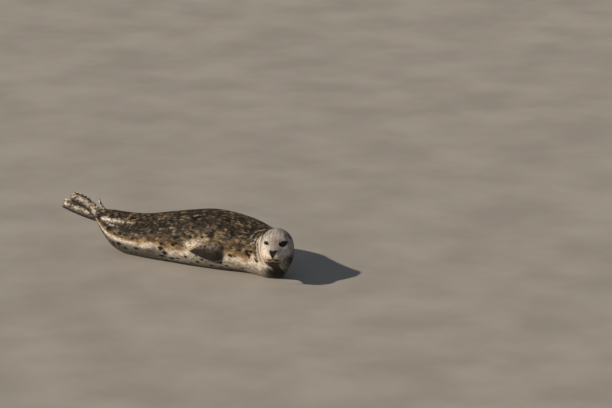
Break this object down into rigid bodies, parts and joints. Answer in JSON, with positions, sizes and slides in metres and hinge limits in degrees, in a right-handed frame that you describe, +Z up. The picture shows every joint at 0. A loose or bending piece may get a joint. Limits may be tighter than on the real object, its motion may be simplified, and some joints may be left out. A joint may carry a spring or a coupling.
{
  "type": "harbor seal",
  "caption": "Life-size harbor seal resting on its belly, head turned to its right and hind flippers held up, as a still display model.",
  "frame": {"origin": "on the floor, under the centre of the whole animal's box", "axes": "+X from the hind flippers towards the chest, +Z up, the animal's right side on -Y"},
  "size_m": [1.4698, 0.614, 0.2816],
  "materials": {
    "back_coat": "short dense fur, dark with black blotches and pale rings over a paler belly",
    "face_coat": "short silver-grey and cream fur with fine dark flecks",
    "flipper_coat": "very short dark fur over webbed skin",
    "wet_eye": "wet, glossy and almost black",
    "claw_horn": "dark smooth horn"
  },
  "bodies": {
    "root": {"rump": "back_coat", "belly": "back_coat", "chest": "back_coat", "tail": "back_coat", "neck": "face_coat", "head": "face_coat", "muzzle": "face_coat", "lower_jaw": "face_coat", "fore_flipper_left": "flipper_coat", "fore_flipper_right": "flipper_coat", "hind_flipper_left": "flipper_coat", "hind_flipper_right": "flipper_coat", "eye_left": "wet_eye", "eye_right": "wet_eye", "fore_flipper_left_claw_1": "claw_horn", "fore_flipper_left_claw_2": "claw_horn", "fore_flipper_left_claw_3": "claw_horn", "fore_flipper_left_claw_4": "claw_horn", "fore_flipper_left_claw_5": "claw_horn", "fore_flipper_right_claw_1": "claw_horn", "fore_flipper_right_claw_2": "claw_horn", "fore_flipper_right_claw_3": "claw_horn", "fore_flipper_right_claw_4": "claw_horn", "fore_flipper_right_claw_5": "claw_horn", "hind_flipper_left_claw_1": "claw_horn", "hind_flipper_left_claw_2": "claw_horn", "hind_flipper_left_claw_3": "claw_horn", "hind_flipper_left_claw_4": "claw_horn", "hind_flipper_left_claw_5": "claw_horn", "hind_flipper_right_claw_1": "claw_horn", "hind_flipper_right_claw_2": "claw_horn", "hind_flipper_right_claw_3": "claw_horn", "hind_flipper_right_claw_4": "claw_horn", "hind_flipper_right_claw_5": "claw_horn"}
  },
  "joints": []
}
